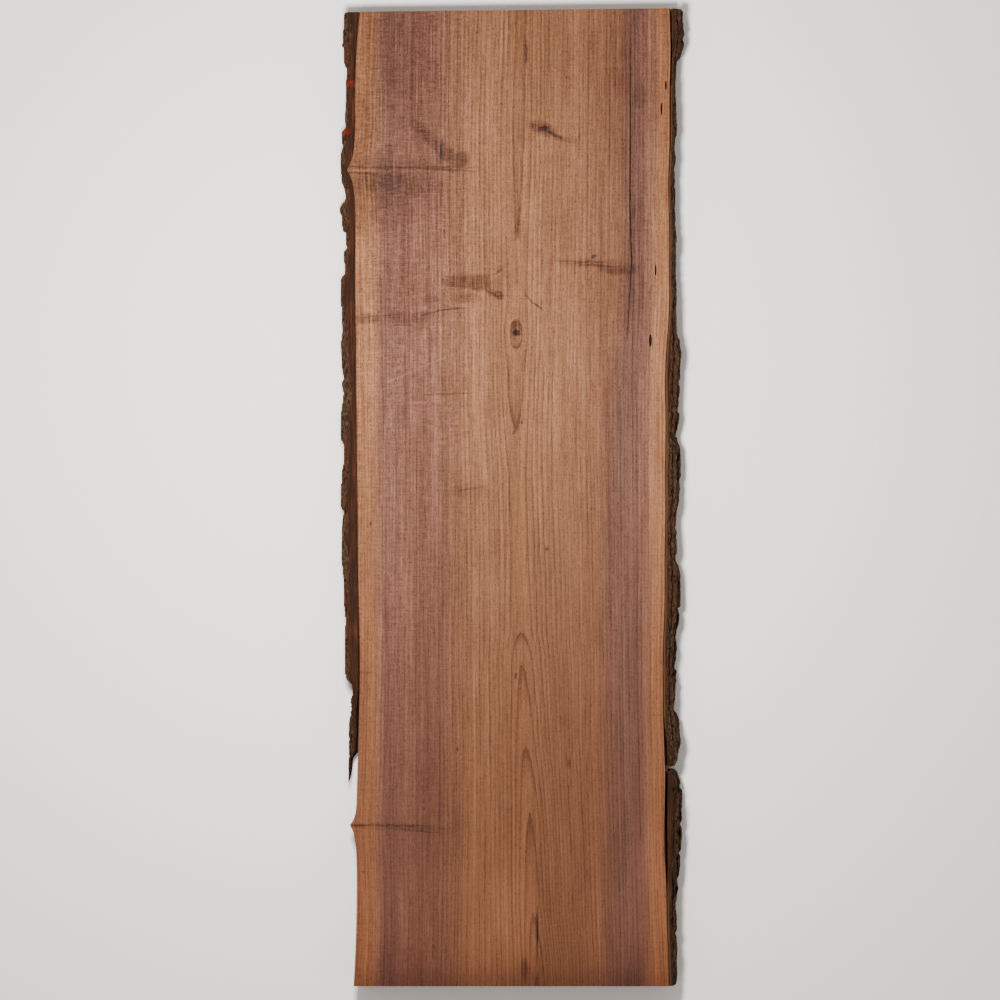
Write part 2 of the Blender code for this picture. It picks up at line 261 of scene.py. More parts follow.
def ring_radius(settled, across, along, level):
    """How far from the pith the ring through each place is, in millimetres."""
    pushed = flow_round_knots(settled, across, along)
    pith_places, pith_across, pith_heights = np.array(PITH).T
    pith_x = np.interp(along, pith_places, pith_across)
    pith_up = np.interp(along, pith_places, pith_heights)
    pull = np.exp(-((pushed - pith_x) / PITH_REACH) ** 2)
    centre = LOG_CENTRE + (pith_x - LOG_CENTRE) * pull
    depth = (1 - level) * THICKNESS / MM + pith_up
    ring = np.hypot(pushed - centre, depth)
    loose = 1 - 0.8 * np.exp(-((pushed - pith_x) / CALM_REACH) ** 2)
    ring += 3.0 * loose * soft_noise(across / 110, along / 240, depth / 60)
    ring += 0.5 * loose * soft_noise(across / 25, along / 70, depth / 20)
    eye_x, eye_y, rise, half_width, half_length = EYE
    ring += rise * np.exp(-((across - eye_x) / half_width) ** 2 - ((along - eye_y) / half_length) ** 2)
    return ring


def soft_shades(across, along):
    """Stops of the wide soft shades, for arrays of places."""
    stops = np.zeros_like(across)
    for shade_x, shade_y, half_width, half_length, added in SHADES:
        far = ((across - shade_x) / half_width) ** 2 + ((along - shade_y) / half_length) ** 2
        near = np.clip(1 - far / SHADE_RIM ** 2, 0, 1)
        stops += added * near * near * (3 - 2 * near)
    return stops


def end_density(along):
    """How much darker and redder the wood gets towards its ends, for an array of places."""
    places, density = np.array(ENDS).T
    return np.interp(along, places, density)


def is_hollow(x, y, z):
    """Tells which vertices are inside a crack or a hole, for arrays of places."""
    level = z / THICKNESS
    from_left = x - edge_x(LEFT_SECTIONS, y, level)
    from_right = edge_x(RIGHT_SECTIONS, y, level) - x
    from_ends = np.minimum(y - BOTTOM_END, BOTTOM_END + LENGTH - TOP_SLANT / 2 - y)
    inside = np.minimum(np.minimum(from_left, from_right), from_ends) > INSIDE
    return inside & (z > INSIDE) & (z < THICKNESS - BELOW_FACE)


def vertex_rows(mesh, kind):
    """The places or the normals of a mesh's vertices, one row each."""
    values = np.empty(len(mesh.vertices) * 3)
    mesh.vertices.foreach_get(kind, values)
    return values.reshape(-1, 3)


def keep_on_vertices(mesh, **values):
    """Stores arrays of numbers on the vertices, where the material reads them by their names."""
    for name, numbers in values.items():
        layer = mesh.attributes.new(name, "FLOAT", "POINT")
        layer.data.foreach_set("value", numbers.astype(np.float32))


def grow_rings(mesh):
    """Gives each vertex its place in the tree, the shade of the wood there, and how it darkens towards the
    ends.
    """
    x, y, z = vertex_rows(mesh, "co").T
    across, along = x / MM, (y - BOTTOM_END) / MM
    settled = settle(across, y)
    keep_on_vertices(
        mesh,
        ring=ring_radius(settled, across, along, z / THICKNESS),
        across=settled,
        hollow=is_hollow(x, y, z),
        shade=soft_shades(settled, along),
        end_density=end_density(along),
    )


class Graph:
    """A material's node graph, with a short call for each kind of node that is used."""

    def __init__(self, name):
        self.material = bpy.data.materials.new(name)
        self.material.use_nodes = True
        self.tree = self.material.node_tree
        self.shader = self.tree.nodes["Principled BSDF"]

    def feed(self, socket, value):
        if isinstance(value, bpy.types.NodeSocket):
            self.tree.links.new(value, socket)
        elif value is not None:
            socket.default_value = value

    def node(self, kind, inputs=(), **settings):
        made = self.tree.nodes.new(kind)
        for name, value in settings.items():
            setattr(made, name, value)
        for index, value in enumerate(inputs):
            self.feed(made.inputs[index], value)
        return made

    def math(self, operation, a, b=None, c=None, clamp=False):
        return self.node("ShaderNodeMath", [a, b, c], operation=operation, use_clamp=clamp).outputs[0]

    def add(self, a, b):
        return self.math("ADD", a, b)

    def times(self, a, b):
        return self.math("MULTIPLY", a, b)

    def vector(self, operation, a, b=None):
        made = self.node("ShaderNodeVectorMath", [a, b], operation=operation)
        return made.outputs["Value" if operation == "DOT_PRODUCT" else "Vector"]

    def combine(self, x, y, z=0.0):
        return self.node("ShaderNodeCombineXYZ", [x, y, z]).outputs[0]

    def split(self, vector):
        return self.node("ShaderNodeSeparateXYZ", [vector]).outputs

    def smooth(self, value, low, high, to_low=0.0, to_high=1.0):
        """Eases from one level to another while the value goes from low to high."""
        made = self.node("ShaderNodeMapRange", interpolation_type="SMOOTHSTEP")
        for name, number in zip(("Value", "From Min", "From Max", "To Min", "To Max"),
                                (value, low, high, to_low, to_high)):
            self.feed(made.inputs[name], number)
        return made.outputs[0]

    def noise(self, vector, detail=2.0, roughness=0.5, distortion=0.0):
        """Noise between 0 and 1, with features one unit of the vector wide."""
        made = self.node("ShaderNodeTexNoise", noise_dimensions="3D")
        for name, value in (("Vector", vector), ("Scale", 1.0), ("Detail", detail),
                            ("Roughness", roughness), ("Distortion", distortion)):
            self.feed(made.inputs[name], value)
        return made.outputs[0]

    def mix(self, share, a, b, blend="MIX"):
        made = self.node("ShaderNodeMix", data_type="RGBA", blend_type=blend)
        self.feed(made.inputs["Factor"], share)
        self.feed(made.inputs["A"], a)
        self.feed(made.inputs["B"], b)
        return made.outputs["Result"]

    def ramp(self, value, stops):
        made = self.node("ShaderNodeValToRGB", [value])
        elements = made.color_ramp.elements
        while len(elements) < len(stops):
            elements.new(0.5)
        for element, (place, colour) in zip(elements, stops):
            element.position = place
            element.color = colour
        return made.outputs[0]

    def dim(self, tone, stops):
        """Halves a colour's light for each stop."""
        made = self.node("ShaderNodeVectorMath", [tone], operation="SCALE")
        self.feed(made.inputs["Scale"], self.math("POWER", 2.0, self.times(stops, -1.0)))
        return made.outputs[0]

    def attribute(self, name):
        return self.node("ShaderNodeAttribute", attribute_name=name).outputs["Fac"]

    def bump(self, height, distance, strength=1.0, normal=None):
        made = self.node("ShaderNodeBump")
        self.feed(made.inputs["Height"], height)
        self.feed(made.inputs["Distance"], distance)
        self.feed(made.inputs["Strength"], strength)
        if normal is not None:
            self.feed(made.inputs["Normal"], normal)
        return made.outputs[0]


def colour(red, green, blue):
    """A colour as seen on screen, 0 to 255, in linear light."""
    def linear(value):
        value /= 255
        return value / 12.92 if value <= 0.04045 else ((value + 0.055) / 1.055) ** 2.4
    return (linear(red), linear(green), linear(blue), 1.0)


# Base colours of the wood's zones
SAPWOOD = colour(128, 83, 54)
SAP_BORDER = colour(113, 75, 56)
VIOLET = colour(98, 62, 49)
DULL_HEART = colour(100, 63, 46)
HEARTWOOD = colour(116, 76, 50)
CORE = colour(111, 71, 48)
DARK_HEART = colour(97, 62, 45)
DARK_VIOLET = colour(94, 61, 48)
PITHWOOD = colour(117, 76, 49)

# The zones from the left edge of the slab to the right, by the place across
ZONES = (
    (-191, SAPWOOD), (-174, SAPWOOD), (-163, SAP_BORDER), (-156, VIOLET), (-146, VIOLET),
    (-128, DULL_HEART), (-92, DULL_HEART), (-48, HEARTWOOD), (-12, HEARTWOOD), (9, PITHWOOD),
    (38, HEARTWOOD), (76, HEARTWOOD), (104, CORE), (119, DARK_HEART), (133, DARK_VIOLET),
    (147, DARK_VIOLET), (156, VIOLET), (165, SAP_BORDER), (176, SAPWOOD), (192, SAPWOOD),
)

# The dark violet zone begins at the long crack, which bends there: (along, across)
CRACK_FOOT, CRACK_BEND = (795, 141.5), (880, 145.4)
ZONE_SHIFTS = (-22.0, -3.0)                  # of the zones just left and right of the crack
ZONE_WAVER = 9.0

# Marks on the upper face: (kind, across, along, half width, half length, turn in degrees,
# strength, softness of the rim from 0 to 1)
MARKS = (
    # the streak of the upper branch stump, with the shades around it
    ("stain", -122, 1008, 74, 1.2, 0, 0.65, 0.8),
    ("rust", -112, 1008, 66, 2.0, 0, 0.3, 0.9),
    ("stain", -82, 1005, 38, 1.2, -3, 0.7, 0.8),
    ("stain", -186, 1001, 20, 1.2, -4, 0.8, 0.8),
    ("pale", -168, 1003.5, 40, 1.4, -1, 0.8, 0.8),
    ("violet", -150, 989, 20, 12, -3, 0.2, 0.8),
    ("shade", -146, 989, 30, 11, -3, 0.4, 0.8),
    ("shade", -122, 985, 36, 12, -3, 0.45, 0.8),
    ("shade", -150, 1013, 50, 9, 0, 0.2, 0.9),
    ("shade", -180, 988, 12, 10, -3, 0.7, 0.9),
    ("shade", -104, 1046, 7, 26, 48, 0.75, 0.8),
    ("shade", -82, 1026, 8, 20, 50, 0.9, 0.8),
    ("shade", -64, 1017, 11, 9, 20, 1.2, 0.6),
    ("char", -88, 1026, 1.4, 18, -5, 0.75, 0.7),
    # rusty saw marks in the sapwood
    ("shade", -178, 1074, 16, 30, 0, 0.4, 1.0),
    # the brown patch and its tail
    ("shade", -42, 866, 15, 10.5, -2, 1.2, 0.45),
    ("rust", -44, 866, 22, 10, -2, 0.35, 0.7),
    ("shade", -62, 867, 24, 8.5, -2, 1.0, 0.6),
    ("shade", -22, 853, 13, 5, -25, 0.8, 0.7),
    ("stain", -24, 852, 9, 1.3, -28, 0.9, 0.7),
    ("stain", -14, 850, 1.4, 5, 0, 0.7, 0.8),
    ("stain", -17, 880, 6, 1.4, 38, 0.7, 0.8),
    ("shade", -56, 847, 16, 6, 0, 0.6, 0.9),
    ("shade", -100, 846, 12, 5, 4, 0.6, 0.8),
    ("stain", -98, 829, 14, 1.2, 16, 0.9, 0.8),
    ("stain", -73, 834, 14, 1.0, 4, 0.8, 0.8),
    ("shade", -118, 822, 24, 7, 8, 0.65, 0.7),
    ("shade", -142, 823, 20, 7.5, 0, 0.45, 0.5),
    ("shade", -178, 822, 16, 6, 0, 1.2, 0.5),
    # the streak that ends at the long crack
    ("stain", 86, 892, 30, 1.4, -1, 0.5, 0.8),
    ("stain", 98, 887.5, 24, 1.4, -4, 0.5, 0.8),
    ("shade", 96, 890, 46, 5.0, -2, 0.45, 0.9),
    ("shade", 126, 882, 21, 6, -8, 1.0, 0.6),
    ("rust", 126, 882, 22, 6, -8, 0.3, 0.8),
    ("shade", 150, 884, 6, 5, -40, 0.8, 0.8),
    ("char", 100, 898, 3.4, 2.0, 24, 0.85, 0.5),
    # the streak of the lower branch stump
    ("stain", -150, 198, 46, 1.3, -1, 0.5, 0.8),
    ("shade", -140, 196, 60, 4.5, -2, 0.35, 0.9),
    ("stain", -112, 191, 30, 1.2, -6, 0.35, 0.9),
    ("dark", -188, 198, 8, 1.8, 0, 0.6, 0.8),
    # the round knot
    ("rust", 3.5, 807.5, 7.5, 10.5, 0, 0.3, 0.7),
    ("stain", 3.6, 807.5, 7.0, 9.5, 0, 0.55, 0.7),
    ("knot", 4.9, 804.2, 4.2, 4.0, 0, 0.95, 0.7),
    ("stain", 2.4, 813.5, 3.6, 4.0, 20, 0.75, 0.9),
    # the small knot and its feather
    ("rust", 34, 1058, 12, 6, -20, 0.2, 0.8),
    ("shade", 37, 1056, 16, 8, -18, 1.1, 0.8),
    ("stain", 50, 1049, 12, 1.8, -24, 0.9, 0.8),
    ("shade", 66, 1042, 13, 3.0, -12, 0.6, 0.9),
    ("knot", 38.3, 1056, 6.0, 2.6, 4, 0.85, 0.7),
    ("dark", 25, 1058, 1.2, 4, 0, 0.5, 0.8),
    ("shade", 5.6, 934, 3.4, 10, 0, 0.7, 0.9),
    # little dashes and specks
    ("stain", 20, 847, 6, 1.2, -48, 1.0, 0.8),
    ("stain", 31, 837, 8, 1.2, -32, 1.0, 0.8),
    ("dark", 11.8, 694.5, 1.5, 3.4, 0, 0.8, 0.7),
    ("dark", 1.5, 682.2, 1.2, 3.2, -30, 0.6, 0.7),
    ("dark", 42.6, 538.2, 2.0, 3.2, 0, 0.6, 0.8),
    ("dark", -174.6, 569.6, 1.4, 2.4, 0, 0.9, 0.6),
    ("dark", 4.1, 381.9, 1.5, 4.0, 0, 0.7, 0.7),
    ("dark", -67.6, 292, 1.6, 2.6, 0, 0.6, 0.7),
    ("stain", 69.7, 273.6, 2.0, 6.0, 0, 0.7, 0.8),
    ("dark", -183.9, 140.7, 1.2, 1.8, 0, 0.8, 0.6),
    ("dark", 16.7, 1150, 1.6, 15, 0, 0.8, 0.8),
    ("dark", 15.5, 20, 4.0, 14, 0, 0.5, 0.9),
    ("dark", 30.4, 72, 1.5, 22, 0, 0.55, 0.9),
    ("rust", -183, 386, 7, 2.4, 0, 0.5, 0.9),
    ("shade", -52, 609, 22, 9, 0, 0.35, 0.9),
    ("stain", -54, 612, 16, 1.2, 10, 0.5, 0.9),
    ("stain", -81, 729, 28, 0.9, 2, 0.6, 0.9),
    # the reddish patches and the violet cloud beside the crack
    ("rust", 125, 1112, 19, 17, 0, 0.35, 0.6),
    ("shade", 127, 1112, 17, 17, 0, 0.2, 0.6),
    ("rust", 110, 733, 16, 14, 0, 0.38, 0.9),
    ("shade", 155, 950, 9, 18, 0, 0.4, 0.9),
    ("shade", 156, 1096, 10, 16, 0, 0.4, 0.5),
    # light scratches and scuffs
    ("pale", -161.6, 1075, 0.9, 38, 0, 1.0, 0.8),
    ("pale", -164.8, 850, 0.9, 120, 0, 0.5, 0.9),
    ("pale", -138, 750, 22, 1.0, 23, 1.0, 0.7),
    ("pale", -92, 770, 32, 0.8, 22, 0.8, 0.7),
    ("pale", -108, 719, 27, 1.4, 6, 0.6, 0.9),
    ("pale", 50, 763, 11, 5.0, 62, 0.3, 0.9),
)

MARK_STOPS = {"shade": 0.85, "stain": 1.5, "dark": 2.0, "char": 2.2, "knot": 2.7, "pale": -0.5}
MARK_TINTS = {"violet": colour(77, 52, 47), "rust": colour(108, 60, 36), "char": colour(95, 77, 71)}


class Places:
    """The coordinates that the wood's patterns are made from, in millimetres."""

    def __init__(self, g):
        place = g.node("ShaderNodeTexCoord").outputs["Object"]
        self.x, self.y, self.z = g.split(g.vector("MULTIPLY", place, (1000, 1000, 1000)))
        self.along = g.math("SUBTRACT", self.y, BOTTOM_END / MM)
        self.ring = g.attribute("ring")
        self.across = g.attribute("across")
        side_of_log = g.smooth(self.across, -20, 36, 0, 60)
        self.flow = g.combine(self.ring, self.along, side_of_log)
        self.grain = g.combine(self.across, self.along, self.z)
        self.dashes = g.noise(g.vector("MULTIPLY", self.grain, (1 / 0.9, 1 / 4.0, 1 / 3)), 1)
        normal = g.split(g.node("ShaderNodeNewGeometry").outputs["Normal"])
        self.end_grain = g.smooth(g.math("ABSOLUTE", normal[1]), 0.6, 0.8)
        self.live_edge = g.smooth(g.math("ABSOLUTE", normal[0]), 0.6, 0.8)
        self.on_face = g.smooth(self.z, THICKNESS / MM - 1.0, THICKNESS / MM - 0.4)


def sized_noise(g, vector, sizes, detail=2.0, roughness=0.5):
    """Noise from -0.5 to 0.5 with features of the given sizes, in the vector's own units."""
    scaled = g.vector("MULTIPLY", vector, tuple(1 / size for size in sizes))
    return g.math("SUBTRACT", g.noise(scaled, detail, roughness), 0.5)


def weighted(g, pairs):
    """Adds up (value, weight) pairs."""
    total = 0.0
    for value, weight in pairs:
        total = g.math("MULTIPLY_ADD", value, weight, total)
    return total


def zone_colour(g, at):
    """The colour of the zone, with borders that waver along the grain."""
    waver = sized_noise(g, at.grain, (60, 260, 60), 3)
    place = g.math("MULTIPLY_ADD", waver, ZONE_WAVER, at.across)
    (foot_along, foot_across), (bend_along, bend_across) = CRACK_FOOT, CRACK_BEND
    crack = g.smooth(at.along, foot_along, bend_along, foot_across, bend_across)
    past_crack = g.math("SUBTRACT", at.x, crack)
    shift = g.times(g.smooth(at.across, 90, 120), g.smooth(past_crack, -0.5, 0.7, *ZONE_SHIFTS))
    place = g.math("MULTIPLY_ADD", shift, g.smooth(at.along, 700, 830), place)
    first, width = ZONES[0][0], ZONES[-1][0] - ZONES[0][0]
    share = g.math("DIVIDE", g.math("SUBTRACT", place, first), width, clamp=True)
    return g.ramp(share, [((here - first) / width, tone) for here, tone in ZONES])


def year_rings(g, at):
    """Stops of shade of the yearly growth: each ring has its own, and ends in a thin dark line."""
    beyond = g.math("SUBTRACT", at.ring, CORE_RING)
    swell = g.times(sized_noise(g, at.flow, (24, 4000, 30), 1), g.smooth(beyond, 8, 35, 0.0, 2.6))
    crowded = g.times(g.math("MINIMUM", beyond, 12.0), 1 / CORE_RING_WIDTH - 1 / RING_WIDTH)
    ragged = g.times(sized_noise(g, at.grain, (1.5, 26, 8), 2, 0.7), g.smooth(beyond, 2, 12, 0.15, 0.5))
    phase = g.add(g.add(g.math("DIVIDE", beyond, RING_WIDTH), crowded), g.add(swell, ragged))
    year = g.math("FRACT", phase)
    number = g.math("FLOOR", phase)
    own = g.noise(g.combine(g.times(number, 7.3), g.times(at.along, 1 / 260), g.split(at.flow)[2]), 1)
    begins = g.smooth(beyond, 2, 14, 0.76, 0.74)
    line = g.times(g.smooth(year, begins, 0.96), g.smooth(year, 1.0, 0.97))
    line = g.times(line, g.smooth(at.dashes, 0.36, 0.62, 0.4, 1.25))
    broken = g.smooth(sized_noise(g, at.flow, (6, 45, 20), 3, 0.6), -0.22, 0.2, 0.2, 1.0)
    strength = g.times(g.smooth(own, 0.35, 0.65, 0.3, 1.0), broken)
    strength = g.times(strength, g.smooth(at.across, -60, -130, 1.0, 0.6))
    strength = g.math("MAXIMUM", strength, g.times(g.smooth(beyond, 9, 3, 0.0, 0.6), broken))
    late = g.times(g.smooth(year, 0.4, 1.0), g.smooth(beyond, 30, 6, 0.12, 0.36))
    return weighted(g, [(g.times(line, strength), 1.2), (g.math("SUBTRACT", own, 0.5), 0.6), (late, 1.0)])


def wood_grain(g, at):
    """Stops of shade of the fine figure: bands, fibres, pores, and the faint marks of the saw."""
    bands = sized_noise(g, at.flow, (14, 900, 30), 2)
    narrow = sized_noise(g, at.flow, (3.2, 500, 30), 2, 0.6)
    fibres = sized_noise(g, at.grain, (1.25, 60, 8), 2, 0.6)
    threads = sized_noise(g, at.grain, (0.8, 16, 5), 2, 0.7)
    pores = g.smooth(at.dashes, 0.60, 0.72)
    speckle = sized_noise(g, at.grain, (1.1, 1.6, 1.3), 1)
    mottle = sized_noise(g, at.grain, (40, 90, 40), 3, 0.6)
    level = g.combine(g.times(at.x, 1 / 13), at.y, 0.0)
    ridges = sized_noise(g, level, (1, 1.9, 1), 1)
    swells = sized_noise(g, level, (1, 5.0, 1), 2, 0.6)
    sawn = g.smooth(at.across, 40, -150, 0.5, 1.0)
    sawn = g.times(sawn, g.smooth(at.along, 250, 1000, 0.65, 1.0))
    saw = g.times(weighted(g, [(ridges, 1.0), (swells, 0.9)]), sawn)
    woven = g.times(fibres, ridges)
    stops = weighted(g, [
        (bands, 0.32), (narrow, 1.12), (fibres, 1.6), (threads, 1.4), (pores, 0.85),
        (speckle, 0.75), (woven, 5.5), (mottle, 0.6), (saw, 0.9),
    ])
    stops = g.times(stops, g.smooth(at.along, 0, 1000, 0.54, 1.0))
    stops = g.times(stops, g.smooth(at.across, -20, -120, 1.0, 1.18))
    height = weighted(g, [(pores, -1.0), (fibres, 0.8), (ridges, 0.8), (swells, 0.6)])
    weave = g.math("MULTIPLY_ADD", ridges, 0.45, fibres)
    return stops, height, weave


def soft_spot(g, places, across, along, half_width, half_length, turn, strength, rim):
    """A soft ellipse: its strength in its middle and 0 outside.

    places holds across, along and 1, so that a dot product is the distance along one of its axes.
    """
    cosine, sine = math.cos(math.radians(turn)), math.sin(math.radians(turn))
    squares = 0.0
    for aim_x, aim_y, half in ((cosine, sine, half_width), (-sine, cosine, half_length)):
        start = -(across * aim_x + along * aim_y)
        reach = g.vector("DOT_PRODUCT", places, (aim_x / half, aim_y / half, start / half))
        squares = g.math("MULTIPLY_ADD", reach, reach, squares)
    return g.smooth(squares, (1.0 + rim / 2) ** 2, (1.0 - rim) ** 2, 0.0, strength)


def face_marks(g, at, weave):
    """How strongly each kind of mark covers the upper face, feathered by the grain."""
    wander_x = g.times(sized_noise(g, at.grain, (3, 9, 5), 3, 0.7), 5.0)
    wander_y = g.times(sized_noise(g, at.grain, (12, 5, 9), 2, 0.6), 5.0)
    marked = g.combine(g.add(at.x, wander_x), g.add(at.along, wander_y), 1.0)
    feather = g.times(g.smooth(weave, -0.18, 0.16, 0.5, 1.15), at.on_face)
    covers = {}
    for kind in dict.fromkeys(mark[0] for mark in MARKS):
        spots = [soft_spot(g, marked, *mark[1:]) for mark in MARKS if mark[0] == kind]
        cover = spots[0]
        for spot in spots[1:]:
            cover = g.math("MAXIMUM", spot, cover)
        covers[kind] = g.times(cover, feather)
    return covers


def end_grain(g, at, zone, rings):
    """Sawn ends: darker, with the rings as arcs and the pores as dots."""
    dots = sized_noise(g, g.combine(at.x, at.z, g.times(at.y, 0.1)), (0.8, 0.8, 1), 2, 0.6)
    blur = sized_noise(g, g.combine(at.x, at.z, 0.0), (14, 14, 1), 3)
    stops = weighted(g, [(rings, 1.3), (dots, 1.8), (blur, 1.1)])
    return g.dim(zone, g.add(stops, 0.7))


def live_edge(g, at):
    """The bare edge under the bark: smooth and browner, with long fibres."""
    skin = g.combine(at.z, at.y, 0.0)
    fibres = sized_noise(g, skin, (2.2, 40, 1), 4, 0.7)
    patches = sized_noise(g, skin, (18, 60, 1), 3, 0.6)
    tone = g.ramp(
        g.add(fibres, 0.5),
        [(0.30, colour(64, 39, 27)), (0.52, colour(103, 69, 47)), (0.75, colour(130, 92, 65))],
    )
    return g.mix(g.smooth(patches, -0.02, 0.15, 0.0, 0.7), tone, colour(72, 47, 34))


def wood_material():
    """Walnut: the fine figure only dims the zone's colour, and what is dense is redder too."""
    g = Graph("walnut_wood")
    at = Places(g)
    zone = zone_colour(g, at)
    rings = year_rings(g, at)
    figure, height, weave = wood_grain(g, at)
    covers = face_marks(g, at, weave)
    face = zone
    for kind, tint in MARK_TINTS.items():
        face = g.mix(covers[kind], face, tint)
    marked = weighted(g, [(covers[kind], stops) for kind, stops in MARK_STOPS.items()])
    stops = g.add(g.add(rings, figure), g.add(marked, g.attribute("shade")))
    density = g.math("MULTIPLY_ADD", stops, REDDENING, g.attribute("end_density"))
    face = g.node("ShaderNodeGamma", [face, g.add(density, MEAN_POWER)]).outputs[0]
    face = g.dim(face, g.times(stops, 0.72))
    result = g.mix(at.end_grain, face, end_grain(g, at, zone, rings))
    result = g.mix(at.live_edge, result, live_edge(g, at))
    # painted shade: the insides of the cracks and beetle holes are painted near black
    result = g.mix(g.attribute("hollow"), result, colour(20, 11, 7))

    g.feed(g.shader.inputs["Base Color"], result)
    g.feed(g.shader.inputs["Roughness"], g.smooth(figure, -0.6, 0.6, 0.68, 0.82))
    g.shader.inputs["Specular IOR Level"].default_value = 0.2
    g.feed(g.shader.inputs["Normal"], g.bump(height, 0.00012, 0.5))
    return g.material


def apply_modifiers(piece):
    """Turns what a piece's modifiers make into its mesh."""
    result = bpy.data.meshes.new_from_object(piece.evaluated_get(bpy.context.evaluated_depsgraph_get()))
    piece.modifiers.clear()
    piece.data = result


def carve(piece, cutters):
    """Takes the cutters out of a piece for good, then deletes them."""
    for cutter in cutters:
        boolean = piece.modifiers.new(cutter.name, "BOOLEAN")
        boolean.operation = "DIFFERENCE"
        boolean.solver = "EXACT"
        boolean.object = cutter
    apply_modifiers(piece)
    for cutter in cutters:
        bpy.data.objects.remove(cutter)


def add_piece(name, mesh):
    piece = bpy.data.objects.new(name, mesh)
    bpy.context.scene.collection.objects.link(piece)
    return piece


# Drying cracks, as (along, across) from end to end, and beetle holes, as (along, across, length,
# width), all in millimetres
LONG_CRACK = ((1155, 145.2), (1110, 145.2), (1056, 145.4), (1010, 145.0), (968, 144.7),
              (894, 146.7), (876, 146.0), (845, 144.1), (820, 142.8), (795, 141.0))
END_CRACK = ((91, 30.2), (60, 30.6), (24, 30.2))
BEETLE_HOLES = (
    (1109, 189.0, 12, 2.0), (1080, 183.4, 16, 2.0), (881.5, 176.4, 15, 2.0), (795, 169.8, 16, 3.6),
)
CRACKS = (
    ("long_crack", LONG_CRACK, 0.0016, 0.007),   # width and depth in metres
    ("end_crack", END_CRACK, 0.0013, 0.0035),
)
HOLE_DEPTH = 0.005
CUT_RISE = 0.001             # how far the cutters stand above the face
RAG_LENGTH = 11              # millimetres from one ragged place of a crack to the next
RAG_ASIDE = 0.0004


def crack_cutter(name, path, width, depth, step=4.0):
    """A wedge along a path, with a ragged opening."""
    ordered = sorted(path)
    places = np.arange(ordered[0][0], ordered[-1][0] + step, step)
    mesh = bmesh.new()
    rings = []
    for place in places:
        along = (place - places[0]) / (places[-1] - places[0])
        opening = 0.45 + 0.55 * math.sin(math.pi * along)
        rag = noise.noise(Vector((place / RAG_LENGTH, width, 0)))
        x = np.interp(place, [p[0] for p in ordered], [p[1] for p in ordered]) * MM + rag * RAG_ASIDE
        half = width * opening * (1 + 0.5 * rag) * (1 + CUT_RISE / depth) / 2
        y = BOTTOM_END + place * MM
        top, bottom = THICKNESS + CUT_RISE, THICKNESS - depth * opening
        corners = ((x - half, top), (x, bottom), (x + half, top))
        rings.append([mesh.verts.new((cx, y, cz)) for cx, cz in corners])
    for below, above in zip(rings, rings[1:]):
        for i in range(3):
            j = (i + 1) % 3
            mesh.faces.new((below[i], below[j], above[j], above[i]))
    mesh.faces.new(rings[0])
    mesh.faces.new(rings[-1])
    bmesh.ops.recalc_face_normals(mesh, faces=mesh.faces)
    data = bpy.data.meshes.new(name)
    mesh.to_mesh(data)
    mesh.free()
    return add_piece(name, data)


def hole_cutter(name, hole):
    place, across, length, width = (value * MM for value in hole)
    mesh = bmesh.new()
    bmesh.ops.create_uvsphere(mesh, u_segments=20, v_segments=12, radius=1.0)
    bmesh.ops.scale(mesh, vec=(width / 2, length / 2, HOLE_DEPTH), verts=mesh.verts)
    bmesh.ops.translate(mesh, vec=(across, BOTTOM_END + place, THICKNESS), verts=mesh.verts)
    data = bpy.data.meshes.new(name)
    mesh.to_mesh(data)
    mesh.free()
    return add_piece(name, data)


def build_wood():
    wood = add_piece("wood", wood_mesh())
    cutters = [crack_cutter(*crack) for crack in CRACKS]
    cutters += [hole_cutter(f"hole_{i}", hole) for i, hole in enumerate(BEETLE_HOLES)]
    carve(wood, cutters)
    grow_rings(wood.data)
    wood.data.shade_smooth()
    wood.data.set_sharp_from_angle(angle=math.radians(35))
    wood.data.materials.clear()
    wood.data.materials.append(wood_material())
    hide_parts("wood_slab")
    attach(wood, "root")


# Red paint on the left bark: (across, along, half width, half length, turn, strength, rim)
PAINT = (
    (-199.5, 1110.5, 6.5, 5.0, 0, 1.0, 0.3),
    (-205.0, 1052.0, 6.5, 4.0, 10, 0.8, 0.6),
)
PAINT_RED = colour(122, 24, 12)
# Painted shade: the bark's carved grooves and its pits are painted this near black
BARK_HOLLOW_SHADE = colour(13, 8, 6)                # in its cracks and pits


def sawn_bark(g, x, y, z, inner):
    """Bark cut by the saw: dark red-brown with lengthwise streaks, and painted shadow in the gap along the
    wood.
    """
    streaks = g.noise(g.combine(g.times(x, 0.9), g.times(y, 0.025), g.times(z, 0.9)), 4, 0.7)
    blotches = g.noise(g.combine(g.times(x, 0.14), g.times(y, 0.03), g.times(z, 0.14)), 3, 0.6)
    tone = g.ramp(
        streaks,
        [(0.30, colour(24, 12, 7)), (0.5, colour(50, 26, 15)), (0.70, colour(80, 44, 24))],
    )
    tone = g.mix(g.smooth(blotches, 0.38, 0.62, 0, 0.65), tone, colour(33, 20, 13))
    cork = g.times(g.smooth(inner, 3.6, 2.4), g.smooth(x, -50, 50, 0, 0.4))
    tone = g.mix(cork, tone, colour(104, 70, 44))
    # painted shadow: where the seam noise opens along the wood, the gap between bark and wood is painted
    # near black
    seam = g.noise(g.combine(0.0, g.times(y, 0.04), 0.0), 2)
    gap_shadow = g.times(g.smooth(inner, 1.3, 0.7), g.smooth(seam, 0.40, 0.55, 0.35, 0.9))
    return g.mix(gap_shadow, tone, colour(22, 12, 8))


